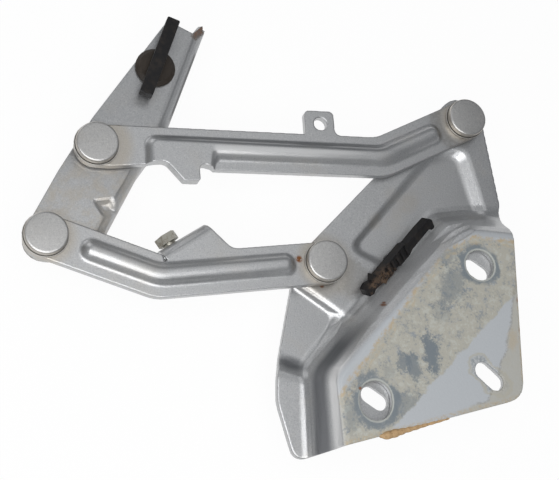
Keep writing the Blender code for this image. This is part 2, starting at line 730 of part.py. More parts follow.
def make_lower_arm():
    bend = Line(HOOD_LOWER, BASE_LOWER).at(*LOWER_BEND)
    near = Line(HOOD_LOWER, bend)
    far = Line(bend, BASE_LOWER)
    half = ARM_HALF
    end = far.length + half
    flap = lower_fold_line()
    quarter = (FOLD_RADIUS - ARM_SHEET / 2) * math.pi / 2
    reach = quarter + FOLD_DEPTH - FOLD_RADIUS
    outline = rounded([
        near.corner(-half, half, half),
        near.corner(near.length - 1.6, half, 1),
        flap.corner(-2.2, -1, 0.5),
        flap.corner(0, -1, 0.5),
        flap.corner(0, reach, 3),
        flap.corner(FOLD_LENGTH - 12, reach, 6),
        flap.corner(FOLD_LENGTH - 2, quarter, 6),
        far.corner(46, half, 8),
        far.corner(end, half, half),
        far.corner(end, -half, half),
        mitre(HOOD_LOWER, bend, BASE_LOWER, -half, 25),
        near.corner(-half, -half, half),
    ])
    shift = 0.6
    start = 20.0
    stop = far.length - 18.3
    across = (shift + BEAD_HALF, shift - BEAD_HALF)
    narrow = (shift + BEAD_CROWN, shift - BEAD_CROWN)
    bead = Press(
        foot=[
            near.corner(start, across[0], BEAD_CORNER),
            mitre(HOOD_LOWER, bend, BASE_LOWER, across[0], 16),
            far.corner(stop, across[0], BEAD_CORNER), far.corner(stop, across[1], BEAD_CORNER),
            mitre(HOOD_LOWER, bend, BASE_LOWER, across[1], 26),
            near.corner(start, across[1], BEAD_CORNER),
        ],
        crown=[
            near.corner(start + BEAD_END, narrow[0], 0.7),
            mitre(HOOD_LOWER, bend, BASE_LOWER, narrow[0], 20),
            far.corner(stop - BEAD_END, narrow[0], 0.7), far.corner(stop - BEAD_END, narrow[1], 0.7),
            mitre(HOOD_LOWER, bend, BASE_LOWER, narrow[1], 22),
            near.corner(start + BEAD_END, narrow[1], 0.7),
        ],
        height=BEAD_HEIGHT,
        eases=BEAD_EASES,
    )
    arm = arm_sheet("lower_arm", outline, [bead], lower_axis)
    for name, pivot in (("hood_lower", HOOD_LOWER), ("base_lower", BASE_LOWER)):
        bore = ring(pivot, ARM_HOLE)
        cut_out(arm, bore, ARM_BACK - 2, ARM_FACE + 2, lower_axis, name + "_bore_cutter")
    hole = ring(flap.at(BOLT_ALONG, quarter + BOLT_DEPTH - FOLD_RADIUS), BOLT_RADIUS + GAP, 24)
    cut_out(arm, hole, ARM_BACK - 2, ARM_FACE + 2, lower_axis, "stop_hole_cutter")
    fold(arm, flap, -0.6, FOLD_RADIUS, ARM_SHEET, ARM_FACE, lower_axis)
    return arm


def hood_fold_across(along):
    """How far from the pivot line the hood flange starts to fold."""
    return HOOD_FOLD_RADIUS - float(np.interp(along, *zip(*HOOD_FLANGE_LINE)))


def make_hood_bracket():
    axis = Line(HOOD_LOWER, HOOD_UPPER)
    pad = HOOD_PAD_RADIUS
    middle = HOOD_FOLD_RADIUS - HOOD_SHEET / 2
    quarter = middle * math.pi / 2
    reach = quarter + HOOD_FLANGE_DEPTH - HOOD_FOLD_RADIUS
    length = HOOD_LENGTH
    top_fold = hood_fold_across(length)
    outline = rounded([
        axis.corner(-pad, pad, pad),
        axis.corner(-pad, -pad, pad),
        axis.corner(6, hood_fold_across(0) + 6, 8),
        axis.corner(8, hood_fold_across(0) - reach, 5),
        *(axis.corner(kink, hood_fold_across(kink) - reach) for kink, _ in HOOD_FLANGE_LINE[1:-1]),
        axis.corner(length + 2, hood_fold_across(length) - reach),
        axis.corner(length - 1, top_fold - reach + 5),
        axis.corner(length + 6, top_fold - quarter - 11),
        axis.corner(length + 2, top_fold - quarter - 6),
        axis.corner(length + 12.5, top_fold - quarter - 1.5),
        axis.corner(length + 5, top_fold - quarter + 3),
        axis.corner(length + 9.5, top_fold - 3.3),
        axis.corner(length + 0.5, top_fold - 0.5),
        axis.corner(length, -0.5, 1),
        axis.corner(80, 10, 60),
        axis.corner(40, pad, 40),
    ])
    dart_fold = hood_fold_across(0)
    dart = Press(
        foot=[
            axis.corner(34, dart_fold + 9, 1), axis.corner(42, dart_fold - 1, 1),
            axis.corner(36, dart_fold - 9, 1), axis.corner(28, dart_fold - 1, 1),
        ],
        crown=[
            axis.corner(34.6, dart_fold + 3, 0.3), axis.corner(36.4, dart_fold - 0.5, 0.3),
            axis.corner(35.6, dart_fold - 4, 0.3), axis.corner(33.8, dart_fold - 0.5, 0.3),
        ],
        height=-DART_DEPTH,
        eases=(0.4, 0.4),
        lines=(0.0, 0.4, 0.7, 1.0),
    )
    bracket = pressed_sheet(
        "hood_bracket", box_around(outline, 8), [dart], hood_axis, PAINT,
        front=lambda places: dart.share(places) * dart.height,
        rear=lambda places: dart.share(places) * dart.height - HOOD_SHEET,
    )
    trim(bracket, outline, -HOOD_SHEET - DART_DEPTH - 2, 2, hood_axis)
    holes = {
        "hood_upper_hole": ring(HOOD_UPPER, BRACKET_HOLE, 24),
        "hood_lower_hole": ring(HOOD_LOWER, OPEN_HOLE),
        "clip_hole": ring(axis.at(*CLIP_PLACE), CLIP_STEM_RADIUS + GAP, 24),
    }
    for number, along in enumerate(HOOD_HOLES):
        centre = axis.at(along, hood_fold_across(along) - (quarter + reach) / 2)
        holes[f"hood_bolt_hole_{number}"] = ring(centre, HOOD_HOLE_RADIUS, 24)
    for name, hole in holes.items():
        cut_out(bracket, hole, -HOOD_SHEET - 2, 2, hood_axis, name + "_cutter")
    fold_hood_flange(bracket, axis, middle, quarter)
    return bracket


def fold_hood_flange(bracket, axis, middle, quarter):
    """Folds the flange back along its line, which turns by a few degrees at each kink."""
    merge_flat(bracket)
    apply_modifiers(bracket)
    shape = bmesh.new()
    shape.from_mesh(bracket.data)
    pivot = Vector(hood_axis["axis"])

    def split(place, direction):
        local = place - pivot
        bmesh.ops.bisect_plane(
            shape, geom=list(shape.verts) + list(shape.edges) + list(shape.faces),
            dist=1e-7, plane_co=Vector((local.x, local.y, 0)) * MM,
            plane_no=Vector((direction.x, direction.y, 0)),
        )

    steps = 5
    for (start, near), (end, far) in zip(HOOD_FLANGE_LINE, HOOD_FLANGE_LINE[1:]):
        split(axis.at(start), axis.along)
        leaning = (axis.across * (end - start) + axis.along * (far - near)).normalized()
        for step in range(steps + 1):
            beyond = -quarter * step / steps
            split(axis.at(start, hood_fold_across(start) + beyond), leaning)
    for vert in shape.verts:
        place = Vector((vert.co.x, vert.co.y)) / MM + pivot - axis.start
        along = place.dot(axis.along)
        start = hood_fold_across(along)
        beyond = start - place.dot(axis.across)
        if beyond <= 0:
            continue
        spoke = HOOD_FOLD_RADIUS + vert.co.z / MM
        angle = min(beyond / middle, math.pi / 2)
        across = start - spoke * math.sin(angle)
        height = spoke * math.cos(angle) - HOOD_FOLD_RADIUS - max(0, beyond - quarter)
        moved = axis.at(along, across) - pivot
        vert.co = Vector((moved.x, moved.y, height)) * MM
    bmesh.ops.dissolve_limit(
        shape, angle_limit=FLAT_ANGLE, verts=shape.verts, edges=shape.edges, use_dissolve_boundaries=False
    )
    bmesh.ops.triangulate(shape, faces=shape.faces)
    shape.to_mesh(bracket.data)
    shape.free()


def make_pivot(name, place, sheet, pin_parent, bush_parent, tail_washer, clearance=0.0):
    """Headed pin, flanged bush, thrust washer and tail washer of one riveted pivot."""
    rear = -sheet
    washer_back = rear - GAP - TAIL_WASHER_THICKNESS
    tail_face = washer_back - GAP
    tail_back = tail_face - TAIL_THICKNESS
    pin = [
        (0, tail_back), (TAIL_RADIUS - 1.5, tail_back), (TAIL_RADIUS, tail_back + 1),
        (TAIL_RADIUS, tail_face), (SHANK_RADIUS, tail_face), (SHANK_RADIUS, GAP),
        (SHOULDER_RADIUS, GAP), (SHOULDER_RADIUS, HEAD_BACK), (HEAD_RADIUS, HEAD_BACK),
        (HEAD_RADIUS, HEAD_FACE - HEAD_BEVEL), (HEAD_RADIUS - HEAD_BEVEL, HEAD_FACE), (0, HEAD_FACE),
    ]
    add("pin_" + name, turned(pin, place), pin_parent, PAINT)
    bush = [
        (BUSH_INNER, ARM_BACK), (BUSH_OUTER, ARM_BACK), (BUSH_OUTER, BUSH_BACK),
        (BUSH_FLANGE_RADIUS, BUSH_BACK), (BUSH_FLANGE_RADIUS, BUSH_FACE), (BUSH_INNER, BUSH_FACE),
    ]
    add("bush_" + name, turned(bush, place), bush_parent, BUSH_BLACK)
    thrust = tube(SHOULDER_RADIUS + GAP, WASHER_RADIUS, WASHER_BACK, WASHER_FACE)
    add("washer_" + name, turned(thrust, place), pin_parent, BARE_STEEL)
    tail = tube(SHANK_RADIUS + GAP, tail_washer, washer_back, rear - GAP)
    add("tail_washer_" + name, turned(tail, place), pin_parent, BARE_STEEL)


def hexagon(across, low, high):
    """A hexagonal prism, with its corners on the circle that the width across flats gives."""
    return prism(ring(Vector((0, 0)), across / math.sqrt(3), 6), low, high)


def stop_frame():
    """Axis of the stop bolt: out of the folded tab's outer face, level with the hinge plane."""
    flap = lower_fold_line()
    place = flap.at(BOLT_ALONG, FOLD_RADIUS)
    made = empty("stop_bolt_axis", (0, 0, 0), lower_axis)
    local = place - BASE_LOWER
    height = ARM_FACE - BOLT_DEPTH
    made.location = Vector((local.x, local.y, height)) * MM
    outwards = Vector((flap.across.x, flap.across.y, 0))
    made.rotation_euler = outwards.to_track_quat("Z", "Y").to_euler()
    made["axis"] = (0.0, 0.0)
    return made


def make_stop():
    """Hexagon bolt screwed through the folded tab, with a lock nut on its inner side."""
    stop = stop_frame()
    top = BOLT_STAND_OFF + BOLT_HEAD
    shank = turned(
        [
            (0, top - BOLT_LENGTH - BOLT_HEAD), (BOLT_RADIUS - 0.8, top - BOLT_LENGTH - BOLT_HEAD),
            (BOLT_RADIUS, top - BOLT_LENGTH - BOLT_HEAD + 1), (BOLT_RADIUS, top - 1), (0, top - 1),
        ],
        steps=24,
    )
    bolt = add("stop_bolt", shank, stop, ZINC)
    head = add("stop_head_form", hexagon(HEX_ACROSS, BOLT_STAND_OFF, top), stop)
    boolean(bolt, head, "UNION")
    nut_face = -ARM_SHEET - GAP
    nut = add("stop_nut", hexagon(HEX_ACROSS, nut_face - NUT_THICKNESS, nut_face), stop, ZINC)
    bore = ring(Vector((0, 0)), BOLT_RADIUS + GAP, 24)
    cut_out(nut, bore, nut_face - NUT_THICKNESS - 2, nut_face + 2, stop, "nut_bore_cutter")


def make_hood_clip():
    """Black plastic clip: a round foot pushed into the bracket and a bar that stands on it."""
    axis = Line(HOOD_LOWER, HOOD_UPPER)
    place = axis.at(*CLIP_PLACE)
    foot_face = GAP + CLIP_FOOT_THICKNESS
    barb = -HOOD_SHEET - GAP
    foot = [
        (0, barb - 4), (CLIP_STEM_RADIUS - 1, barb - 4), (CLIP_STEM_RADIUS + 1.2, barb - 1),
        (CLIP_STEM_RADIUS + 1.2, barb), (CLIP_STEM_RADIUS, barb), (CLIP_STEM_RADIUS, GAP),
        (CLIP_FOOT_RADIUS, GAP), (CLIP_FOOT_RADIUS, foot_face - 1.6),
        (CLIP_FOOT_RADIUS - 2.5, foot_face), (0, foot_face),
    ]
    add("clip_foot", turned(foot, place), hood_axis, PLASTIC)
    along = axis.along.copy()
    along.rotate(Matrix.Rotation(CLIP_BAR_TURN, 2))
    bar = Line(place, place + along)
    half = CLIP_BAR_WIDTH / 2
    low = -CLIP_BAR_LENGTH / 2 + CLIP_BAR_OFFSET
    high = CLIP_BAR_LENGTH / 2 + CLIP_BAR_OFFSET
    outline = rounded([
        bar.corner(low, half, 0.8), bar.corner(low, -half, 0.8),
        bar.corner(high, -half, 0.8), bar.corner(high, half, 0.8),
    ], 2)
    bar_back = foot_face + GAP
    add("clip_bar", prism(outline, bar_back, bar_back + CLIP_BAR_HEIGHT), hood_axis, PLASTIC)


def make_wiring_clip():
    """Long black plastic clip along the foot of the wall, held by a stem in the sheet."""
    body = prism(rounded(WIRING_CORNERS, 2), 0, WIRING_THICKNESS)
    clip = add("wiring_clip", body, wiring_axis, PLASTIC)
    tip = -WIRING_STEM_DEPTH
    stem = [
        (0, tip), (WIRING_STEM_RADIUS - 0.8, tip), (WIRING_STEM_RADIUS, tip + 1.5),
        (WIRING_STEM_RADIUS, 2), (0, 2),
    ]
    boolean(clip, add("wiring_stem_form", turned(stem), wiring_seat), "UNION")
    for number, along in enumerate(WIRING_RIBS):
        low = Vector((along - WIRING_RIB_WIDTH / 2, -WIRING_RIB_REACH))
        high = Vector((along + WIRING_RIB_WIDTH / 2, WIRING_RIB_REACH))
        rib = [low, Vector((high.x, low.y)), high, Vector((low.x, high.y))]
        bar = prism(rib, WIRING_THICKNESS / 2, WIRING_THICKNESS + WIRING_RIB_RISE)
        boolean(clip, add(f"wiring_rib_form_{number}", bar, wiring_axis), "UNION")


make_base_bracket()
make_doubler()
make_upper_arm()
make_lower_arm()
make_hood_bracket()
make_pivot("base_lower", BASE_LOWER, BASE_SHEET, frame, lower_axis, TAIL_WASHER_RADIUS)
make_pivot("base_upper", BASE_UPPER, BASE_SHEET, frame, upper_axis, TAIL_WASHER_RADIUS)
make_pivot("hood_upper", HOOD_UPPER, HOOD_SHEET, hood_axis, upper_axis, TAIL_WASHER_RADIUS)
make_pivot("hood_lower", HOOD_LOWER, HOOD_SHEET, lower_axis, lower_axis, OPEN_TAIL_WASHER_RADIUS)
make_stop()
make_hood_clip()
make_wiring_clip()
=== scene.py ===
"""Looks of a used four-bar hood hinge: silver-painted pressed steel with dirt and rust."""

import json
import math

import bpy
from mathutils import Matrix, Vector

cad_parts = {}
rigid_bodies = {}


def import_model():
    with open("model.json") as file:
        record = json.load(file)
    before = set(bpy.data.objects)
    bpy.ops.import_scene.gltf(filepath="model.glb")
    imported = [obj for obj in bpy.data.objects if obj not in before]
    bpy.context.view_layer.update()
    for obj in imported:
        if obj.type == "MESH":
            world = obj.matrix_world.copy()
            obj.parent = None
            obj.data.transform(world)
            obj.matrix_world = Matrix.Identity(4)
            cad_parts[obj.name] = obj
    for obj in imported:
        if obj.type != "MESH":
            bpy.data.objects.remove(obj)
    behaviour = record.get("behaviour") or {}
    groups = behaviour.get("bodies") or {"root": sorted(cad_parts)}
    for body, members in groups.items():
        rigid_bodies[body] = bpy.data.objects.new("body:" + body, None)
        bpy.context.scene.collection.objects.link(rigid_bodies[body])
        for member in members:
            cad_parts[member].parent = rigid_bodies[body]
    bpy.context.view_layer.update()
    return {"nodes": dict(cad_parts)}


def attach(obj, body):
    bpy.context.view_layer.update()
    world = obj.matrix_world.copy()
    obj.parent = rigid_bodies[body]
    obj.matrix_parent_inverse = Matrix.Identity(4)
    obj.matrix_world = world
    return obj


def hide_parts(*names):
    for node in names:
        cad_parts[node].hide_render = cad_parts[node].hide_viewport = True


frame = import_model()


# Camera, floor and light. The hinge lies on its rear side on a white floor that is clear from
# behind, and it is seen from in front, a little from the left and from below. A broad soft lamp
# in front of it lets slopes that face left or down shine, and leaves the others dark.
CAMERA_PLACE = Vector((-0.2853, -0.6553, -0.1738))
CAMERA_RIGHT = Vector((0.95811, -0.28642, 0.0))
CAMERA_UP = Vector((-0.08891, -0.29741, 0.95061))
CAMERA_BACK = Vector((-0.27228, -0.91077, -0.31042))
LENS_MM = 79.64
SENSOR_MM = 36
NEAREST = 0.01
MIDDLE = Vector((-0.07, 0.01, 0.03))
FLOOR_Y = 0.0525
FLOOR_SIZE = 8
FLOOR_WHITE = (0.93, 0.93, 0.93, 1)
FLOOR_GLOW = 0.95
WHITE = (1.0, 1.0, 1.0, 1.0)
ROOM_COLOUR = (0.93, 0.96, 1.0, 1)
ROOM_STRENGTH = 0.2
QUARTER_TURN = math.radians(90)
# Each lamp: its direction from the hinge, distance and size in metres, and watts.
LAMPS = {
    "key_lamp": ((-0.274, -0.893, -0.357), 0.84, 0.8, 6.6),
    "fill_lamp": ((0.12, -0.93, 0.41), 1.0, 0.6, 0.7),
    "side_lamp": ((-0.55, -0.30, 0.78), 0.8, 0.5, 0.7),
}

camera_data = bpy.data.cameras.new("camera")
camera_data.lens = LENS_MM
camera_data.sensor_width = SENSOR_MM
camera_data.clip_start = NEAREST
camera = bpy.data.objects.new("camera", camera_data)
bpy.context.scene.collection.objects.link(camera)
turn = Matrix((CAMERA_RIGHT, CAMERA_UP, CAMERA_BACK)).transposed()
camera.matrix_world = Matrix.Translation(CAMERA_PLACE) @ turn.to_4x4()
bpy.context.scene.camera = camera
bpy.context.scene.view_settings.view_transform = "Standard"


class Shade:
    """A value in a material's nodes. Arithmetic on it adds the Math nodes that work it out."""

    def __init__(self, tree, socket=None):
        self.tree = tree
        self.socket = socket

    def node(self, kind, settings=(), sockets=(), out=0):
        """Adds a node: its settings first, then the values or links of its sockets."""
        made = self.tree.nodes.new("ShaderNode" + kind)
        for name, value in dict(settings).items():
            setattr(made, name, value)
        for name, value in dict(sockets).items():
            if isinstance(value, Shade):
                self.tree.links.new(value.socket, made.inputs[name])
            else:
                made.inputs[name].default_value = value
        return Shade(self.tree, made.outputs[out])

    def math(self, operation, other=0.0):
        return self.node("Math", {"operation": operation}, {0: self, 1: other})

    def __add__(self, other):
        return self.math("ADD", other)

    def __mul__(self, other):
        return self.math("MULTIPLY", other)

    def __sub__(self, other):
        return self.math("SUBTRACT", other)

    def __rsub__(self, other):
        return self.node("Math", {"operation": "SUBTRACT"}, {0: other, 1: self})

    __radd__ = __add__
    __rmul__ = __mul__


def new_material(name):
    """An empty material and a start for its values."""
    made = bpy.data.materials.new(name)
    made.use_nodes = True
    made.node_tree.nodes.clear()
    return made, Shade(made.node_tree)


def give_surface(made, shader):
    """Makes a shader the surface of a material."""
    output = made.node_tree.nodes.new("ShaderNodeOutputMaterial")
    made.node_tree.links.new(shader.socket, output.inputs["Surface"])


floor_white, start = new_material("floor_white")
seen = start.node("LightPath", out="Is Camera Ray") + start.node("LightPath", out="Is Glossy Ray")
seen = seen + start.node("LightPath", out="Is Transmission Ray")
matt = start.node("BsdfDiffuse", {}, {"Color": FLOOR_WHITE})
glow = start.node("Emission", {}, {"Color": WHITE, "Strength": 1.0})
glowing = seen.math("MINIMUM", 1.0) * FLOOR_GLOW
front = start.node("MixShader", {}, {0: glowing, 1: matt, 2: glow})
clear = start.node("BsdfTransparent")
rear = start.node("NewGeometry", out="Backfacing")
give_surface(floor_white, start.node("MixShader", {}, {0: rear, 1: front, 2: clear}))

bpy.ops.object.select_all(action="DESELECT")
bpy.ops.mesh.primitive_plane_add(
    size=FLOOR_SIZE, location=(0, FLOOR_Y, 0), rotation=(QUARTER_TURN, 0, 0)
)
floor = bpy.context.object
floor.name = "floor"
floor.data.materials.append(floor_white)

world = bpy.data.worlds.new("soft_room")
bpy.context.scene.world = world
world.use_nodes = True
world.node_tree.nodes["Background"].inputs["Color"].default_value = ROOM_COLOUR
world.node_tree.nodes["Background"].inputs["Strength"].default_value = ROOM_STRENGTH


def soft_lamp(name, towards, distance, size, watts):
    """A square soft lamp, placed by its direction from the hinge and aimed at it."""
    lamp_data = bpy.data.lights.new(name, "AREA")
    lamp_data.size = size
    lamp_data.energy = watts
    lamp = bpy.data.objects.new(name, lamp_data)
    bpy.context.scene.collection.objects.link(lamp)
    towards = Vector(towards).normalized()
    lamp.location = MIDDLE + towards * distance
    lamp.rotation_euler = towards.to_track_quat("Z", "Y").to_euler()


for lamp_name, lamp_values in LAMPS.items():
    soft_lamp(lamp_name, *lamp_values)


# Base bracket: one pressing of 4.5 mm steel with a raised mounting flange, two shallow recesses
# and two pivot pads, sprayed silver-grey. Where it was screwed to the body, sealer and dust have
# dried to a yellow-grey band from slot to slot, and a clean grey corner is left beside it.
MM = 0.001
PLANE_X = 57.5
PLANE_Z = -42.0
PLANE_HEIGHT = 17.7
SILVER = (0.50, 0.505, 0.51, 1)
SILVER_DARK = (0.33, 0.34, 0.36, 1)
# Light silver for the paint's sparkle, also used as a painted highlight.
LIGHT_SILVER_AND_HIGHLIGHT = (0.68, 0.68, 0.68, 1)
TAN = (0.46, 0.40, 0.31, 1)
# Grime; its smudge by the lower pivot is also painted shade.
GRIME_AND_SHADE = (0.20, 0.18, 0.15, 1)
RUST = (0.22, 0.085, 0.03, 1)
SEAT_DIRT = (0.43, 0.41, 0.345, 1)
SEAT_PALE = (0.50, 0.51, 0.47, 1)
SEAT_BLUE = (0.17, 0.20, 0.225, 1)
CLEAN_GREY = (0.46, 0.485, 0.51, 1)
OCHRE = (0.47, 0.36, 0.21, 1)
# Grey of painted shade, laid on walls, flanks and bends.
PAINTED_SHADE_GREY = (0.16, 0.165, 0.175, 1)

# Sizes of the paint's tan patches, grains and orange peel in millimetres, and the depth of the
# peel in metres.
PATCH_SIZE = 22
GRAIN_SIZE = 0.75
PEEL_SIZE = 1.1
PEEL_DEPTH = 0.0003

# How far apart points are joined, and the angles from which an edge is kept, rounded or sharp.
WELD = 2e-6
FLAT_ANGLE = math.radians(0.6)
RIM_ANGLE = math.radians(50)
SHARP_ANGLE = math.radians(32)
RIM_STEPS = 3

# The seat on the raised flange: its outline, the line where the dirt band ends, and the shore of
# the dirt in the outer corner.
SEAT_LEFT = ((1.3, -83.1), (69.4, 8.4))
SEAT_SHOULDER = ((69.4, 8.4), (86.2, 17.6))
SEAT_TOP = 18.3
SEAT_RIGHT = 116.6
SEAT_BOTTOM = ((-17.4, -117.5), (116, -78.5))
BAND_END = ((37.1, -95.4), (103.5, -26.1))
SHORE_UPPER = ((106, -50), (112, -36))
SHORE_MIDDLE = ((104, -59), (106, -50))
SHORE_LOWER = ((78, -86), (107, -76))
OUTER_SLOT = ((88, -61.5), (100, -72))
BASE_LOWER = (0.0, 0.0)

# Washer marks (x, z, radius, share of the height), blue-grey patches (x, z, half width, half
# height, lean, cover) and rust spots (x, z, size).
WASHER_MARKS = ((92, 1, 9.4, 1.0), (23, -85, 9.9, 0.86))
BLUE_PATCHES = (
    (58, -56, 5.5, 13, 12, 0.95), (47, -66, 5, 10, 10, 0.8), (40, -62, 4.5, 6, 0, 0.75),
    (74, -12, 9, 18, -30, 0.55), (41, -86, 8, 12, -35, 0.55), (8, -95, 6, 12, 0, 0.45),
    (31, -69, 5, 6, 0, 0.3), (66, -30, 7, 9, 0, 0.3), (71, 5, 6, 8, -40, 0.45),
)
SEAT_RUST = ((117, -19, 2.2), (117, -37.5, 1.8), (117.5, 0, 1.5), (13.5, -78.6, 1.0))
PANEL_RUST = ((32.6, -25.9, 1.3), (33.4, -24.2, 0.8), (-0.2, -12.8, 1.4))


def place_in_plane(x, z, height):
    """A place of the hinge plane in metres of the frame."""
    return Vector((x - PLANE_X, PLANE_HEIGHT - height, z - PLANE_Z)) * MM


def soft_step(value, low, high):
    """Rises softly from 0 at low to 1 at high, or falls where low is the greater."""
    sockets = {"Value": value, "From Min": low, "From Max": high}
    return value.node("MapRange", {"interpolation_type": "SMOOTHSTEP"}, sockets)


def cloud(place, size, detail=3.0, rough=0.55):
    """Cloudy noise from 0 to 1, with patches of about the given size in millimetres."""
    sockets = {"Vector": place, "Scale": 1 / (size * MM), "Detail": detail, "Roughness": rough}
    return place.node("TexNoise", {}, sockets)


def over(base, colour, cover):
    """Lays a colour over another as far as cover says."""
    return cover.node("Mix", {"data_type": "RGBA"}, {0: cover, 6: base, 7: colour}, out=2)


class Plane:
    """The hinge plane in millimetres, as a material reads it: x, z and height over the pads."""

    def __init__(self, start):
        self.place = start.node("TexCoord", out="Object")
        split = start.node("SeparateXYZ", {}, {0: self.place}).socket.node
        axes = [Shade(start.tree, output) for output in split.outputs]
        self.x = axes[0] * (1 / MM) + PLANE_X
        self.z = axes[2] * (1 / MM) + PLANE_Z
        self.height = PLANE_HEIGHT - axes[1] * (1 / MM)

    def spot(self, x, z, radius, soft):
        """1 within a radius of a place, 0 beyond the soft edge."""
        right = self.x - x
        up = self.z - z
        return soft_step((right * right + up * up).math("SQRT"), radius + soft, radius)

    def from_middle(self, x, z, half_width, half_height, lean):
        """Distance from the middle of a leaning oval, 1 at its edge."""
        cos, sin = math.cos(math.radians(lean)), math.sin(math.radians(lean))
        along = (self.x - x) * (cos / half_width) + (self.z - z) * (sin / half_width)
        across = (self.z - z) * (cos / half_height) - (self.x - x) * (sin / half_height)
        return (along * along + across * across).math("SQRT")

    def oval(self, x, z, half_width, half_height, lean):
        """1 in the middle of a leaning oval, falling softly to 0 at its edge."""
        return soft_step(self.from_middle(x, z, half_width, half_height, lean), 1.0, 0.3)

    def smudge(self, x, z, half_width, half_height, lean, rubbed_and_painted_highlight):
        """A leaning patch that breaks up into specks towards its edge."""
        away = self.from_middle(x, z, half_width, half_height, lean)
        return soft_step(away + rubbed_and_painted_highlight, 1.15, 0.55)

    def line(self, first, second):
        """Distance in millimetres from the stretch between two places."""
        run = Vector(second) - Vector(first)
        length = run.length
        run.normalize()
        right = self.x - first[0]
        up = self.z - first[1]
        along = right * run.x + up * run.y
        kept = along.math("MAXIMUM", 0.0).math("MINIMUM", length)
        across = up * run.x - right * run.y
        beyond = along - kept
        return (across * across + beyond * beyond).math("SQRT")

    def side(self, first, second):
        """Distance in millimetres to the left of the line from one place to another."""
        run = Vector(second) - Vector(first)
        run.normalize()
        return (self.z - first[1]) * run.x - (self.x - first[0]) * run.y


def silver_paint(name, marks_and_painted_light):
    """Sprayed silver over steel, with the fine sparkle and orange peel of such paint.

    The function given gets the plane and adds that piece's own dirt and its painted shade and
    highlights: it takes and returns the colour, the roughness and the share of paint that still
    looks metallic.
    """
    made, start = new_material(name)
    plane = Plane(start)
    patches = cloud(plane.place, PATCH_SIZE)
    grains = cloud(plane.place, GRAIN_SIZE, 2.0, 0.7)
    colour = over(SILVER, SILVER_DARK, soft_step(grains, 0.48, 0.72) * 0.6)
    colour = over(colour, LIGHT_SILVER_AND_HIGHLIGHT, soft_step(grains, 0.44, 0.28) * 0.55)
    colour = over(colour, TAN, soft_step(patches, 0.5, 0.75) * 0.16)
    rough = patches * 0.12 + 0.30
    metal = soft_step(patches, 0.9, 0.3) * 0.1 + 0.72
    colour, rough, metal = marks_and_painted_light(plane, colour, rough, metal)
    peel = cloud(plane.place, PEEL_SIZE, 2.0) + grains * 0.35
    bump = start.node("Bump", {}, {"Strength": 0.22, "Distance": PEEL_DEPTH, "Height": peel})
    sockets = {"Base Color": colour, "Roughness": rough, "Metallic": metal, "Normal": bump}
    give_surface(made, start.node("BsdfPrincipled", {}, sockets))
    return made


def new_piece(name, mesh):
    """A piece with the given mesh, which is alone selected and active."""
    bpy.ops.object.select_all(action="DESELECT")
    piece = bpy.data.objects.new(name, mesh)
    bpy.context.scene.collection.objects.link(piece)
    bpy.context.view_layer.objects.active = piece
    piece.select_set(True)
    return piece


def copy_of(node):
    """A copy of a CAD node, made active."""
    return new_piece(node + "_finished", frame["nodes"][node].data.copy())


def finished(piece, node, body, finish):
    """Gives a finished piece its material and puts it in its CAD node's place."""
    piece.data.materials.clear()
    piece.data.materials.append(finish)
    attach(piece, body)
    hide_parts(node)


def pressed(node, body, finish, grain, rounds, mend=None, steep=0.3):
    """A pressing with an even skin: its bends flow and its sheared rim is a little rounded.

    The skin is made anew in the given grain and smoothed in rounds, in height only. Points whose
    normal lies nearly in the hinge plane, and those beside them, are the rim and stay.
    """
    piece = copy_of(node)
    if mend:
        mend(piece)
    piece.data.remesh_voxel_size = grain * MM
    bpy.ops.object.voxel_remesh()
    for vert in piece.data.vertices:
        vert.select = abs(vert.normal.y) < steep
    bpy.ops.object.mode_set(mode="EDIT")
    bpy.ops.mesh.select_mode(type="VERT")
    bpy.ops.mesh.select_more()
    bpy.ops.object.vertex_group_assign_new()
    bpy.ops.object.mode_set(mode="OBJECT")
    flow = piece.modifiers.new("flow", "SMOOTH")
    flow.vertex_group = piece.vertex_groups.active.name
    flow.invert_vertex_group = True
    flow.use_x = False
    flow.use_z = False
    flow.factor = 0.5
    flow.iterations = rounds
    bpy.ops.object.modifier_apply(modifier=flow.name)
    bpy.ops.object.shade_smooth()
    finished(piece, node, body, finish)


def dressed(node, body, finish, rim):
    """A small piece with its CAD facets joined and its rim rounded."""
    piece = copy_of(node)
    bpy.ops.object.mode_set(mode="EDIT")
    bpy.ops.mesh.select_all(action="SELECT")
    bpy.ops.mesh.customdata_custom_splitnormals_clear()
    bpy.ops.mesh.remove_doubles(threshold=WELD)
    bpy.ops.mesh.dissolve_limited(angle_limit=FLAT_ANGLE)
    bpy.ops.object.mode_set(mode="OBJECT")
    bevel = piece.modifiers.new("rim", "BEVEL")
    bevel.width = rim * MM
    bevel.segments = RIM_STEPS
    bevel.limit_method = "ANGLE"
    bevel.angle_limit = RIM_ANGLE
    bpy.ops.object.modifier_apply(modifier=bevel.name)
    bpy.ops.object.shade_smooth_by_angle(angle=SHARP_ANGLE)
    even = piece.modifiers.new("even", "WEIGHTED_NORMAL")
    even.keep_sharp = True
    bpy.ops.object.modifier_apply(modifier=even.name)
    finished(piece, node, body, finish)


def rust_spots(plane, colour, spots, cover):
    """Lays rust spots (x, z, size) over a colour."""
    for x, z, size in spots:
        colour = over(colour, RUST, plane.spot(x, z, size * 0.4, size) * cover)
    return colour


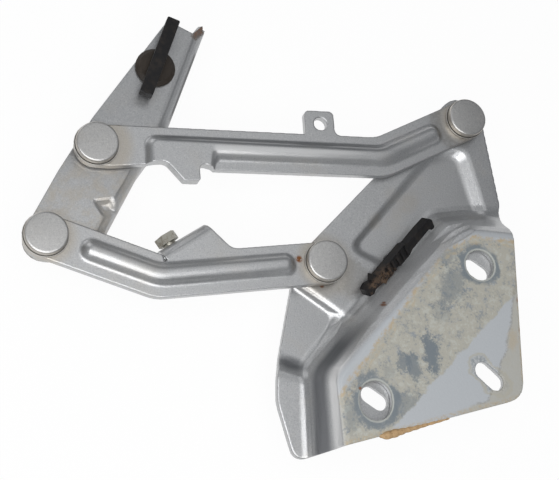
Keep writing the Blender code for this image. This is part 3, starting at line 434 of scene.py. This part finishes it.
def base_stains_and_painted_light(plane, colour, rough, metal):
    """Base bracket: dulled walls with painted shade and a painted highlight, seat band, clean
    corner, washer marks and rust.
    """
    wander = cloud(plane.place, 9, 4.0, 0.6) - 0.5
    mottle = cloud(plane.place, 6, 6.0, 0.78)
    speck = cloud(plane.place, 1.4, 4.0, 0.75)
    rubbed_and_painted_highlight = (speck - 0.5) * 1.7 + wander * 1.6 + (mottle - 0.5) * 1.2
    on_top = soft_step(plane.height, 22.8, 24.6)

    # Painted shade darkens the wall low down, dust dulls it higher up, and a painted highlight
    # lightens its crown.
    # Painted shade on the lower wall.
    painted_wall_shade = soft_step(plane.height, 1.0, 7.0) * soft_step(plane.height, 20.0, 12.0)
    colour = over(colour, PAINTED_SHADE_GREY, painted_wall_shade * soft_step(plane.z, -25, -55) * 0.95)
    dusty = soft_step(plane.height, 2.0, 7.0) * soft_step(plane.height, 24.0, 20.0)
    metal = metal * (1 - dusty * soft_step(plane.z, -50, -30) * 0.5)
    # Painted highlight on the crown of the wall.
    painted_crown_highlight = soft_step(plane.height, 17.0, 20.5) * soft_step(plane.height, 25.0, 23.5)
    colour = over(colour, LIGHT_SILVER_AND_HIGHLIGHT, painted_crown_highlight * soft_step(plane.x, 12, 2) * 0.85)
    # Painted shade at the step in the left wing.
    painted_wing_shade = plane.oval(-18.5, -60.5, 12, 6, -10) * soft_step(plane.height, -5.4, -4.2)
    colour = over(colour, PAINTED_SHADE_GREY, painted_wing_shade * 0.75)

    # The seat: grey where it is clean, with the band of pale dirt and blue-grey patches.
    right = plane.side(*SEAT_LEFT) * -1
    below = plane.side(*SEAT_SHOULDER) * -1
    inside = right.math("MINIMUM", below).math("MINIMUM", SEAT_TOP - plane.z) + wander * 6
    edge = plane.side(*BAND_END) + wander * 8 + (speck - 0.5) * 3
    band = on_top * soft_step(edge, -1.0, 0.6) * soft_step(inside, -1.0, 2.0)
    colour = over(colour, CLEAN_GREY, on_top * 0.85)
    colour = over(colour, SEAT_DIRT, band * soft_step(mottle, 0.25, 0.5) * 0.9)
    colour = over(colour, SEAT_PALE, band * soft_step(mottle - speck * 0.2, 0.42, 0.5) * 0.7)
    blue = soft_step(mottle + speck * 0.6 + wander * 0.3, 0.8, 0.62)
    colour = over(colour, SEAT_BLUE, band * blue * 0.6)
    for x, z, wide, high, lean, cover in BLUE_PATCHES:
        patch = plane.smudge(x, z, wide, high, lean, rubbed_and_painted_highlight)
        colour = over(colour, SEAT_BLUE, band * patch * cover)

    # Marks of the washers round the two round holes, and of the one on the outer slot.
    for x, z, reach, tall in WASHER_MARKS:
        out_x = plane.x - x
        out_z = (plane.z - z) * tall
        away = (out_x * out_x + out_z * out_z).math("SQRT") - reach
        ring = soft_step(away + wander * 12 + (speck - 0.5) * 6, 5.5, 2.5) * on_top
        colour = over(colour, SEAT_BLUE, ring * soft_step(speck + mottle, 0.7, 1.0) * 0.9)
        colour = over(colour, SEAT_PALE, soft_step(away, 1.4, 0.6) * on_top * 0.75)
    away = plane.line(*OUTER_SLOT) + wander * 11 + (speck - 0.5) * 2
    mark = soft_step(away, 8.6, 7.2) - soft_step(away, 7.2, 5.4) * 0.75
    colour = over(colour, SEAT_DIRT, mark.math("MAXIMUM", 0.0) * on_top * 0.75)
    grime = soft_step(away, 6.8, 5.2) * soft_step(speck, 0.42, 0.6) * on_top
    colour = over(colour, SEAT_BLUE, grime * 0.6)

    # Dirt washed up along the outer corner and the lower edge, with a dark shore line.
    corner = plane.side(*SHORE_UPPER).math("MINIMUM", plane.side(*SHORE_MIDDLE)) * -1
    low = plane.side(*SHORE_LOWER) * -1
    shore = corner.math("MAXIMUM", low) + wander * 7
    rim = soft_step(shore, -0.6, 1.2) * on_top * soft_step(plane.x, 70, 84)
    colour = over(colour, SEAT_DIRT, rim * (0.35 + mottle * 0.6))
    shore_line = soft_step(shore.math("ABSOLUTE"), 1.2, 0.3) * soft_step(plane.x, 80, 88) * on_top
    colour = over(colour, GRIME_AND_SHADE, shore_line * soft_step(speck, 0.4, 0.55) * 0.4)
    colour = over(colour, OCHRE, plane.smudge(111, -44, 4, 7, 0, rubbed_and_painted_highlight) * on_top * 0.35)

    # Ochre sealer lines along the seat's edges, drips below it and rust on its rim.
    edge_line = soft_step((inside + (speck - 0.5) * 3).math("ABSOLUTE"), 2.2, 0.3) * on_top
    colour = over(colour, OCHRE, edge_line * soft_step(mottle, 0.42, 0.56) * 0.75)
    inner_line = (inside - 3.6 + (speck - 0.5) * 3).math("ABSOLUTE")
    inner_line = soft_step(inner_line, 1.5, 0.3) * on_top
    colour = over(colour, OCHRE, inner_line * soft_step(mottle, 0.46, 0.6) * 0.5)
    side_rim = soft_step(plane.x + wander * 3 + speck, SEAT_RIGHT - 1.3, SEAT_RIGHT)
    side_rim = side_rim * soft_step(mottle, 0.4, 0.55)
    colour = over(colour, OCHRE, side_rim * on_top * 0.7)
    bottom = plane.side(*SEAT_BOTTOM) + wander * 3
    drips = soft_step(bottom, 3.2, 1.6) * on_top * soft_step(speck, 0.4, 0.6)
    colour = over(colour, OCHRE, drips * 0.5)
    colour = rust_spots(plane, colour, SEAT_RUST, 0.9)
    rough = rough + on_top * 0.22
    metal = metal * (1 - on_top * 0.9)

    # Tan film and grime on the pads and in the panel between them; the grey smudge right of the
    # lower pivot is grime and painted shade.
    colour = over(colour, TAN, plane.spot(*BASE_LOWER, 15, 9) * 0.35)
    colour = over(colour, GRIME_AND_SHADE, plane.smudge(21, -6, 12, 14, 0, rubbed_and_painted_highlight) * 0.3)
    colour = over(colour, TAN, plane.oval(58, 47, 16, 9, 45) * (0.22 + wander * 0.5))
    colour = over(colour, TAN, plane.oval(36, 32, 8, 6, 45) * (0.25 + wander * 0.5))
    colour = rust_spots(plane, colour, PANEL_RUST, 0.85)
    return colour, rough, metal


base_paint = silver_paint("base_paint", base_stains_and_painted_light)
pressed("base_bracket", "base", base_paint, grain=0.9, rounds=38)
dressed("flange_doubler", "base", base_paint, rim=0.25)


# Seam sealer: a bead of orange-tan sealer left along the flange's lower edge where the hinge was
# cut free of the body. It starts in a thick blob and runs out thin to the right.
SEALER_TAN = (0.50, 0.33, 0.17, 1)
SEALER_BROWN = (0.28, 0.17, 0.08, 1)
SEALER_HEIGHT = 24.4
SEALER_STEP = 0.7
SEALER_GRAIN = 0.35
SEALER_LUMPS = 0.10
# Places of the bead with its radius (x, z, radius).
SEALER_WAY = (
    (25.5, -105.0, 1.2), (28.5, -104.6, 2.1), (32.0, -103.6, 2.5), (36.0, -102.4, 2.1),
    (40.0, -101.2, 1.6), (47.0, -99.2, 1.3), (54.0, -97.0, 1.0), (61.0, -94.9, 0.9),
    (68.0, -92.8, 0.6),
)

sealer = new_piece("seam_sealer", bpy.data.meshes.new("seam_sealer"))
bpy.ops.object.mode_set(mode="EDIT")
for (x, z, radius), (next_x, next_z, next_radius) in zip(SEALER_WAY, SEALER_WAY[1:]):
    steps = max(2, round((next_x - x) / SEALER_STEP))
    for step in range(steps):
        share = step / steps
        lumpy = 1 + SEALER_LUMPS * math.sin(x * 3.1 + step * 0.9)
        bpy.ops.mesh.primitive_uv_sphere_add(
            segments=16,
            ring_count=10,
            radius=(radius + (next_radius - radius) * share) * lumpy * MM,
            location=place_in_plane(
                x + (next_x - x) * share, z + (next_z - z) * share, SEALER_HEIGHT
            ),
        )
bpy.ops.object.mode_set(mode="OBJECT")
sealer.data.remesh_voxel_size = SEALER_GRAIN * MM
bpy.ops.object.voxel_remesh()
soften = sealer.modifiers.new("soften", "SMOOTH")
soften.factor = 0.5
soften.iterations = 10
bpy.ops.object.modifier_apply(modifier=soften.name)
bpy.ops.object.shade_smooth()
sealer_tan, start = new_material("sealer_tan")
crumbs = cloud(Plane(start).place, 2.0, 4.0, 0.7)
colour = over(SEALER_TAN, SEALER_BROWN, soft_step(crumbs, 0.45, 0.7) * 0.8)
bump = start.node("Bump", {}, {"Strength": 0.5, "Distance": 0.0006, "Height": crumbs})
sockets = {"Base Color": colour, "Roughness": crumbs * 0.3 + 0.5, "Normal": bump}
give_surface(sealer_tan, start.node("BsdfPrincipled", {}, sockets))
sealer.data.materials.append(sealer_tan)
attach(sealer, "base")


# Upper arm: a pressed arm of 5 mm steel with a half-round bead along it, a tab with a hole on its
# upper edge and a stop lug on its lower edge, sprayed with the same silver.
BASE_UPPER = (95.5, 104.0)
HOOD_UPPER = (-139.3, 59.2)
HOOD_LOWER = (-165.1, 1.5)
PIVOT_PLACES = (HOOD_UPPER, HOOD_LOWER, BASE_LOWER, BASE_UPPER)
HAZE_RADII = (21, 17, 17, 17)
BEAD_CREST = (HOOD_UPPER, (38.0, 72.0))
RUST_RUN = (-16.6, 0.6)
LUG_LEFT = -103.0
LUG_RIGHT = -76.8
LUG_TOP = 52.2
LUG_FACE = 11.1
LUG_REAR = 4.0
LUG_MIDDLE = 6.0


def arm_stains_and_painted_light(plane, colour, rough, metal):
    """Tan haze and grease round the rivets, painted highlight and shade on the bead, and one rust
    run.
    """
    speck = cloud(plane.place, 2.2, 4.0, 0.7)
    for place, radius in zip(PIVOT_PLACES, HAZE_RADII):
        haze = plane.spot(*place, radius - 4, 8) * (0.25 + speck * 0.5)
        colour = over(colour, TAN, haze)
    # Painted highlight along the crest of the bead.
    rubbed_and_painted_highlight = soft_step(plane.height, 8.4, 10.4) * soft_step(plane.z, 45, 50)
    rubbed_and_painted_highlight = rubbed_and_painted_highlight * soft_step(plane.x, -72, -68) * soft_step(plane.x, 45, 0)
    above = plane.side(*BEAD_CREST)
    rubbed_and_painted_highlight = rubbed_and_painted_highlight * soft_step(above, 2.2, 0.2)
    # Painted shade on the bead's upper flank.
    painted_flank_shade = soft_step(above, 1.0, 3.0) * soft_step(above, 8.6, 7.4) * soft_step(plane.x, 60, 20)
    painted_flank_shade = painted_flank_shade * soft_step(plane.x, -108, -98) * soft_step(plane.z, 55, 60)
    colour = over(colour, PAINTED_SHADE_GREY, painted_flank_shade * 0.5)
    colour = over(colour, LIGHT_SILVER_AND_HIGHLIGHT, rubbed_and_painted_highlight * 0.85)
    rough = rough - rubbed_and_painted_highlight * 0.05
    grease = plane.spot(*BASE_UPPER, 22, 4) - plane.spot(*BASE_UPPER, 16, 2)
    colour = over(colour, GRIME_AND_SHADE, grease.math("MAXIMUM", 0.0) * (speck - 0.1) * 0.9)
    run = plane.spot(*RUST_RUN, 1.1, 1.8) * soft_step(speck, 0.35, 0.5)
    colour = over(colour, RUST, run)
    return colour, rough, metal


def level_lug(piece):
    """Sets the lug level with the bead it grows out of, on its face and on its rear side."""
    for vert in piece.data.vertices:
        x = vert.co.x / MM + PLANE_X
        z = vert.co.z / MM + PLANE_Z
        height = PLANE_HEIGHT - vert.co.y / MM
        if LUG_LEFT < x < LUG_RIGHT and z < LUG_TOP:
            level = LUG_FACE if height > LUG_MIDDLE else LUG_REAR
            vert.co.y = place_in_plane(x, z, level).y


arm_paint = silver_paint("arm_paint", arm_stains_and_painted_light)
pressed("upper_arm", "upper_arm_body", arm_paint, grain=0.6, rounds=16, mend=level_lug)


# Lower arm: the same kind of pressing, bent the other way, with one tab folded back from its
# upper edge to carry the stop bolt.
pressed("lower_arm", "lower_arm_body", arm_paint, grain=0.6, rounds=16)


# Hood bracket: a flat 4 mm plate with one edge folded back to meet the hood. Its upper end is
# torn off in use, so the edge there is bare and brown with rust.
# Black of the painted shade outside the bend, and brown of the torn edge.
PAINTED_BEND_BLACK = (0.03, 0.03, 0.032, 1)
TORN_BROWN = (0.09, 0.06, 0.04, 1)
BEND = ((-96.5, 74.9), (-76.3, 139.2))
TORN_EDGE = ((-81.0, 141.0), (-75.5, 148.0))


def hood_stains_and_painted_shade(plane, colour, rough, metal):
    """Tan film, painted shade towards the top and in a black line outside the bend, and rust on
    the torn end.
    """
    mottle = cloud(plane.place, 8, 5.0, 0.65)
    speck = cloud(plane.place, 1.4, 4.0, 0.7)
    # Painted shade: the plate grows darker towards its upper end.
    colour = over(colour, PAINTED_SHADE_GREY, soft_step(plane.z, 10, 60) * 0.22)
    colour = over(colour, TAN, soft_step(mottle, 0.35, 0.65) * soft_step(plane.z, 75, 30) * 0.45)
    # Painted shade: a black line on the outside of the bend, which lies in its own shade.
    painted_bend_line = soft_step(plane.height, -2.6, -4.2) * soft_step(plane.height, -11.0, -9.0)
    painted_bend_line = painted_bend_line * soft_step(plane.side(*BEND), 3.5, 2.0) * soft_step(plane.z, 80, 92)
    colour = over(colour, PAINTED_BEND_BLACK, painted_bend_line * soft_step(plane.z, 134, 128) * 0.9)
    metal = metal * (1 - soft_step(plane.height, -0.3, -1.2) * 0.5)
    dull = plane.oval(-124, 68, 9, 12, 0) * soft_step(mottle, 0.35, 0.6)
    colour = over(colour, GRIME_AND_SHADE, dull * 0.4)
    away = plane.line(*TORN_EDGE) + (speck - 0.5) * 5
    torn = soft_step(away, 2.8, 1.2)
    colour = over(colour, TORN_BROWN, torn * 0.8)
    colour = over(colour, RUST, torn * soft_step(speck + mottle, 0.95, 1.15) * 0.5)
    return colour, rough + torn * 0.3, metal * (1 - torn * 0.7)


hood_paint = silver_paint("hood_paint", hood_stains_and_painted_shade)
pressed("hood_bracket", "hood_bracket_body", hood_paint, grain=0.7, rounds=26, steep=0.06)


# Pivots: each is a riveted pin with a broad head, turned from steel and painted over, on a
# flanged bush in the arm, painted silver too, with painted shade in the gap under the head. Bare
# washers lie behind the arm and under the riveted tail.
# Black of the painted shade in the gap under each head.
PAINTED_GAP_BLACK = (0.03, 0.028, 0.025, 1)
STEEL = (0.42, 0.41, 0.39, 1)
STEEL_BROWN = (0.22, 0.15, 0.10, 1)
ROUND_STEPS = 72
ROUND_ANGLE = math.radians(40)
TAIL_WASHER = 2.1
# Each pivot: its place, the body its pin is fixed to and the thickness of the bracket there.
PIVOTS = {
    "base_lower": (BASE_LOWER, "base", 4.5),
    "base_upper": (BASE_UPPER, "base", 4.5),
    "hood_upper": (HOOD_UPPER, "hood_bracket_body", 4.0),
    "hood_lower": (HOOD_LOWER, "lower_arm_body", 4.0),
}
# Rings of a pin (radius, height): the riveted tail from its washer down, then shank and head.
TAIL_RINGS = ((5.0, -3.0), (6.3, -2.6), (7.0, -1.8), (7.0, 0.0), (4.0, 0.0))
HEAD_RINGS = (
    (4.0, 0.3), (6.0, 0.3), (6.0, 8.0), (12.1, 8.0), (12.5, 8.3), (12.5, 10.9), (12.4, 11.3),
    (12.1, 11.7), (11.5, 11.95), (10.9, 12.0),
)


def turned(name, x, z, rings):
    """A turned piece: a disc drawn out along its axis from ring to ring (radius, height)."""
    bpy.ops.object.select_all(action="DESELECT")
    radius, height = rings[0]
    bpy.ops.mesh.primitive_circle_add(
        vertices=ROUND_STEPS, radius=radius * MM, fill_type="NGON",
        location=place_in_plane(x, z, height), rotation=(QUARTER_TURN, 0, 0),
    )
    piece = bpy.context.object
    piece.name = name
    bpy.ops.object.transform_apply(location=True, rotation=True, scale=True)
    bpy.ops.object.mode_set(mode="EDIT")
    bpy.ops.mesh.select_all(action="SELECT")
    for (before, low), (after, high) in zip(rings, rings[1:]):
        bpy.ops.mesh.extrude_region_move(
            TRANSFORM_OT_translate={"value": (0, (low - high) * MM, 0)}
        )
        bpy.ops.transform.resize(
            value=(after / before, 1, after / before), center_override=place_in_plane(x, z, high)
        )
    bpy.ops.mesh.select_all(action="SELECT")
    bpy.ops.mesh.normals_make_consistent(inside=False)
    bpy.ops.object.mode_set(mode="OBJECT")
    bpy.ops.object.shade_smooth_by_angle(angle=ROUND_ANGLE)
    return piece


def pin_stains(plane, colour, rough, metal):
    """Film of dust on the heads, gathered in the corner round each of them."""
    speck = cloud(plane.place, 2.5, 4.0, 0.7)
    for place in PIVOT_PLACES:
        corner = plane.spot(*place, 14, 1) - plane.spot(*place, 11.6, 0.8)
        colour = over(colour, TAN, corner.math("MAXIMUM", 0.0) * (0.2 + speck * 0.5))
        colour = over(colour, TAN, plane.spot(*place, 11, 2) * 0.14)
    return colour, rough, metal


def bush_dust_and_painted_shade(plane, colour, rough, metal):
    """Painted shade in the gap under each head, and tan dust on the collar outside it."""
    speck = cloud(plane.place, 2.5, 4.0, 0.7)
    colour = over(colour, TAN, speck * 0.6)
    # Painted shade darkens the gap under each head.
    for place in PIVOT_PLACES:
        colour = over(colour, PAINTED_GAP_BLACK, plane.spot(*place, 12.7, 0.3) * 0.9)
    return colour, rough, metal * 0.7


def bare_metal(name, clean, brown, film, rough, metal, dulled):
    """Bare metal with a broken brown film, whose clouds are given as (size, low, high)."""
    made, start = new_material(name)
    size, low, high = film
    cover = soft_step(cloud(Plane(start).place, size, 5.0), low, high)
    sockets = {
        "Base Color": over(clean, brown, cover * 0.6),
        "Roughness": cover * 0.3 + rough,
        "Metallic": metal - cover * dulled,
    }
    give_surface(made, start.node("BsdfPrincipled", {}, sockets))
    return made


pin_paint = silver_paint("pin_paint", pin_stains)
bush_paint = silver_paint("bush_paint", bush_dust_and_painted_shade)
washer_steel = bare_metal("washer_steel", STEEL, STEEL_BROWN, (3.0, 0.45, 0.7), 0.35, 1, 0.6)
for pivot, (place, pin_body, sheet) in PIVOTS.items():
    tail = -sheet - TAIL_WASHER
    rings = [(radius, tail + height) for radius, height in TAIL_RINGS] + list(HEAD_RINGS)
    pin = turned("pin_" + pivot + "_finished", *place, rings)
    finished(pin, "pin_" + pivot, pin_body, pin_paint)
    frame["nodes"]["bush_" + pivot].material_slots[0].material = bush_paint
    frame["nodes"]["washer_" + pivot].material_slots[0].material = washer_steel
    frame["nodes"]["tail_washer_" + pivot].material_slots[0].material = washer_steel


# Stop bolt and lock nut: a short M8 hexagon bolt with its nut in the lower arm's folded tab. It
# sets how far the hinge folds. Both are zinc plated, dulled and a little brown in the corners.
ZINC = (0.36, 0.35, 0.31, 1)
ZINC_BROWN = (0.16, 0.13, 0.09, 1)
zinc = bare_metal("dull_zinc", ZINC, ZINC_BROWN, (2.0, 0.42, 0.68), 0.36, 0.9, 0.5)
dressed("stop_bolt", "lower_arm_body", zinc, rim=0.35)
dressed("stop_nut", "lower_arm_body", zinc, rim=0.35)


# Hood clip: a round foot pushed into the bracket and a straight bar standing on it, both moulded
# in black plastic. The foot has gone dusty brown, and the bar has kept most of its black.
BLACK = (0.010, 0.010, 0.011, 1)
FOOT_BLACK = (0.02, 0.016, 0.013, 1)
DUST_BROWN = (0.045, 0.036, 0.029, 1)
CRUST_BROWN = (0.13, 0.085, 0.055, 1)


def dusty_plastic(name, black, dusty, spots=()):
    """Black moulded plastic with a brown film of dust, and a crust on spots (x, z, radius)."""
    made, start = new_material(name)
    plane = Plane(start)
    dust = soft_step(cloud(plane.place, 4.0, 5.0, 0.65), 0.4, 0.75)
    grain = cloud(plane.place, 0.5, 2.0)
    colour = over(black, DUST_BROWN, dust * 0.5 + dusty)
    for x, z, radius in spots:
        crust = plane.spot(x, z, radius * 0.3, radius) * soft_step(dust + grain, 0.5, 0.9)
        colour = over(colour, CRUST_BROWN, crust * 0.8)
    bump = start.node("Bump", {}, {"Strength": 0.25, "Distance": 0.0002, "Height": grain})
    sockets = {
        "Base Color": colour,
        "Roughness": dust * 0.25 + 0.42,
        "Normal": bump,
        "Specular IOR Level": 0.25,
    }
    give_surface(made, start.node("BsdfPrincipled", {}, sockets))
    return made


foot_plastic = dusty_plastic("foot_plastic", FOOT_BLACK, 0.5)
bar_plastic = dusty_plastic("bar_plastic", BLACK, 0.0)
dressed("clip_foot", "hood_bracket_body", foot_plastic, rim=0.3)
dressed("clip_bar", "hood_bracket_body", bar_plastic, rim=0.4)


# Wiring clip: a long black moulded clip that once held the wiring along the foot of the base
# bracket's wall. Its stem is pushed through the bracket, and rusty dust lies on its lower half.
WIRING_CRUST = ((38, -9, 9), (30, -14, 5))
wiring_plastic = dusty_plastic("wiring_plastic", BLACK, 0.0, WIRING_CRUST)
dressed("wiring_clip", "base", wiring_plastic, rim=0.3)
